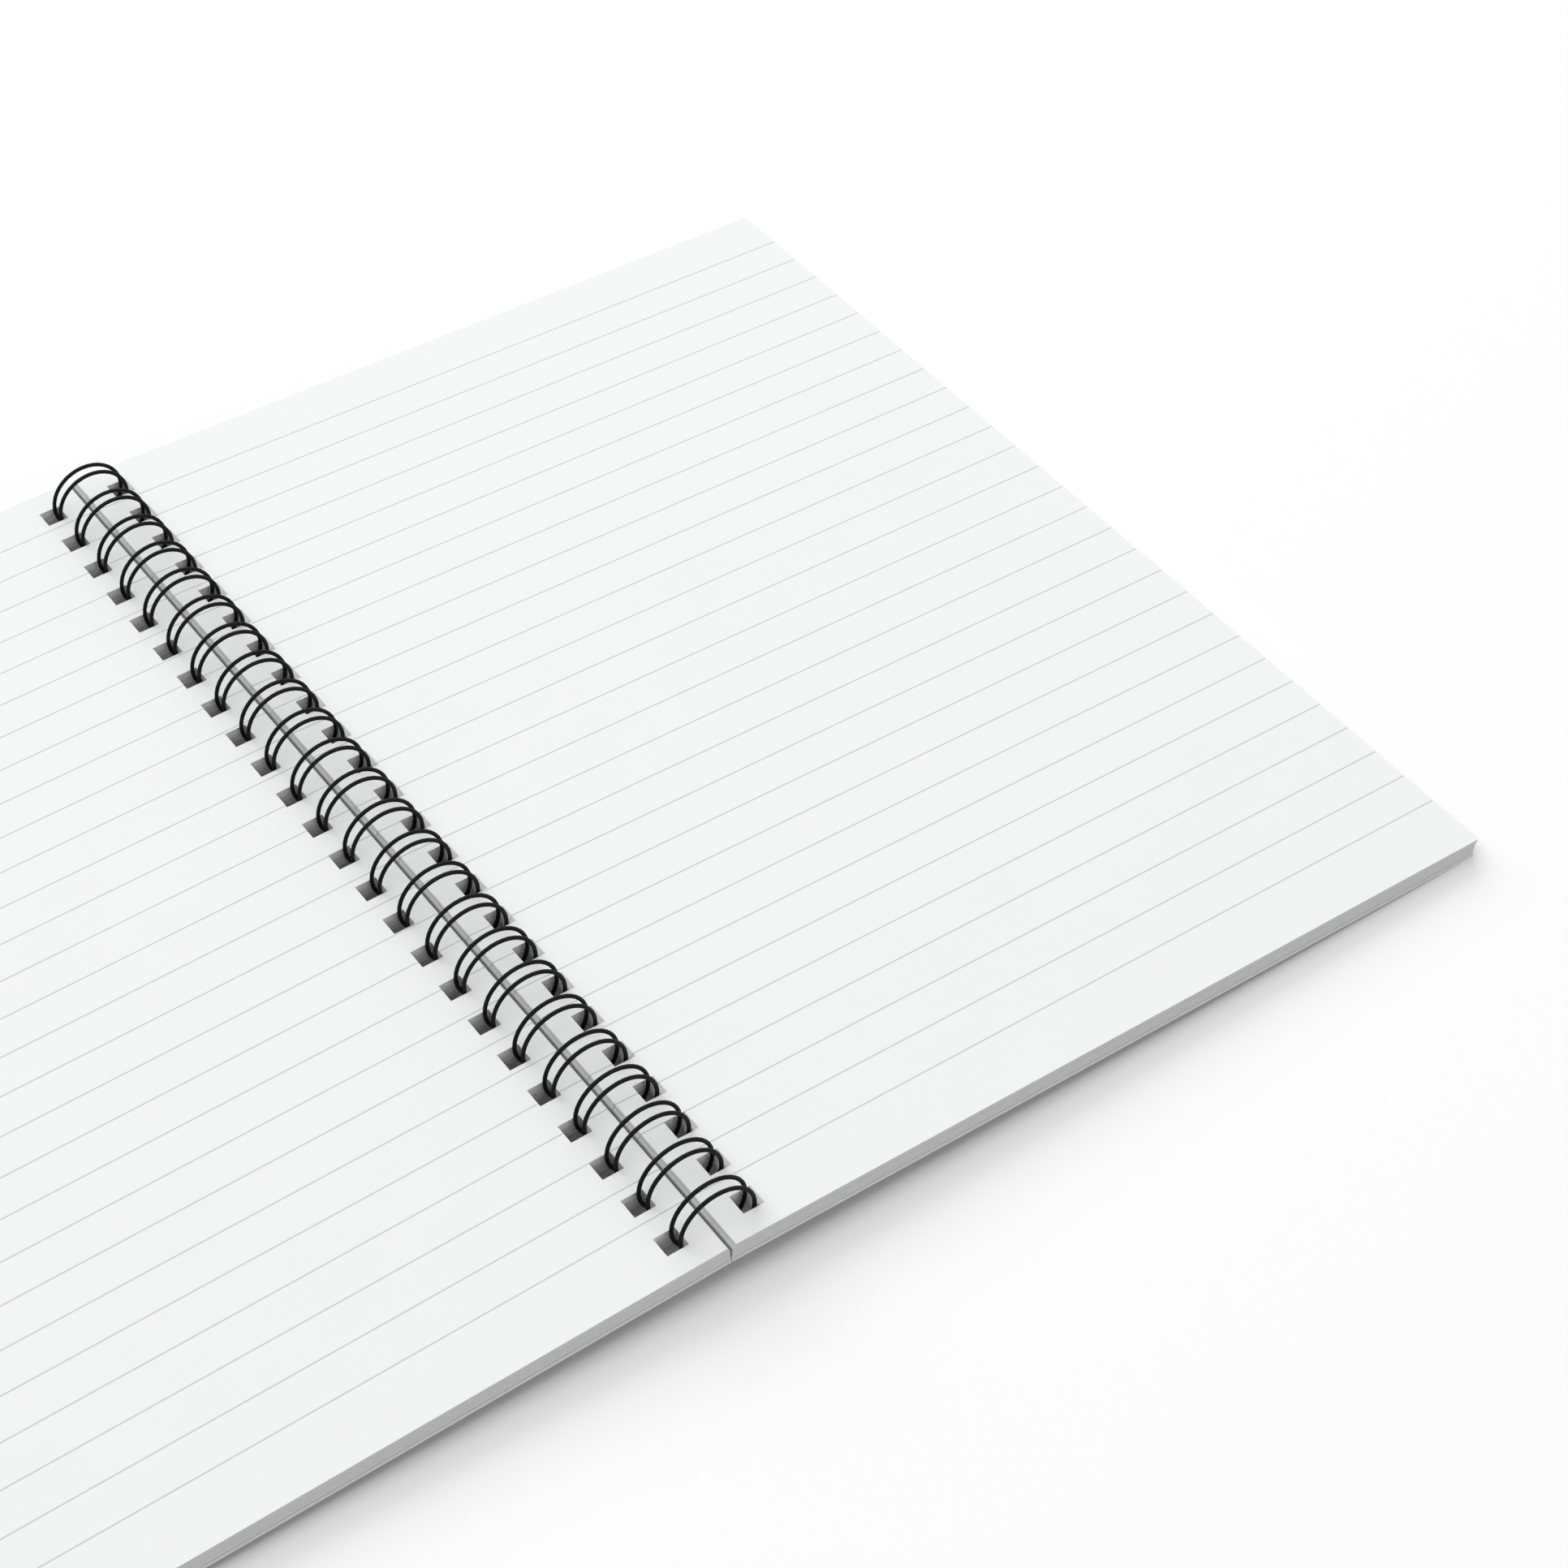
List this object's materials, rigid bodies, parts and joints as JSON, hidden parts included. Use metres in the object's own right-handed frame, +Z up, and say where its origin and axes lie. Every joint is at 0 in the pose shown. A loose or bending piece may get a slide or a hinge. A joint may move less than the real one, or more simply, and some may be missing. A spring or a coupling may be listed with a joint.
{
  "type": "open wire-bound notebook",
  "caption": "Open ruled notebook with card covers, bound by black double wire loops through square holes, lying face up.",
  "frame": {"origin": "on the table, under the middle of the gap between the two halves and half way up the page", "axes": "+X from the left pages to the right pages, +Y along the spine to the head of the pages, +Z up from the table"},
  "size_m": [0.296, 0.21, 0.0138],
  "materials": {
    "ruled_paper": "matte uncoated white paper with fine grey lines",
    "cover_card": "matte light card",
    "coated_wire": "satin black nylon coat on steel wire"
  },
  "bodies": {
    "root": {"back_cover": "cover_card", "twin_loop_wire": "coated_wire"},
    "right_pages": {"right_pages": "ruled_paper"},
    "front_cover": {"front_cover": "cover_card"},
    "left_pages": {"left_pages": "ruled_paper"}
  },
  "joints": [
    {"name": "right_pages_turn", "type": "hinge", "parent": "root", "child": "right_pages", "pos_m": [0.00072, 0, 0.0069], "axis": [0, -1, 0], "range_deg": [0, 182]},
    {"name": "front_cover_close", "type": "hinge", "parent": "root", "child": "front_cover", "pos_m": [0.00072, 0, 0.0069], "axis": [0, 1, 0], "range_deg": [0, 182]},
    {"name": "left_pages_turn", "type": "hinge", "parent": "front_cover", "child": "left_pages", "pos_m": [0.00072, 0, 0.0069], "axis": [0, 1, 0], "range_deg": [0, 178]}
  ]
}
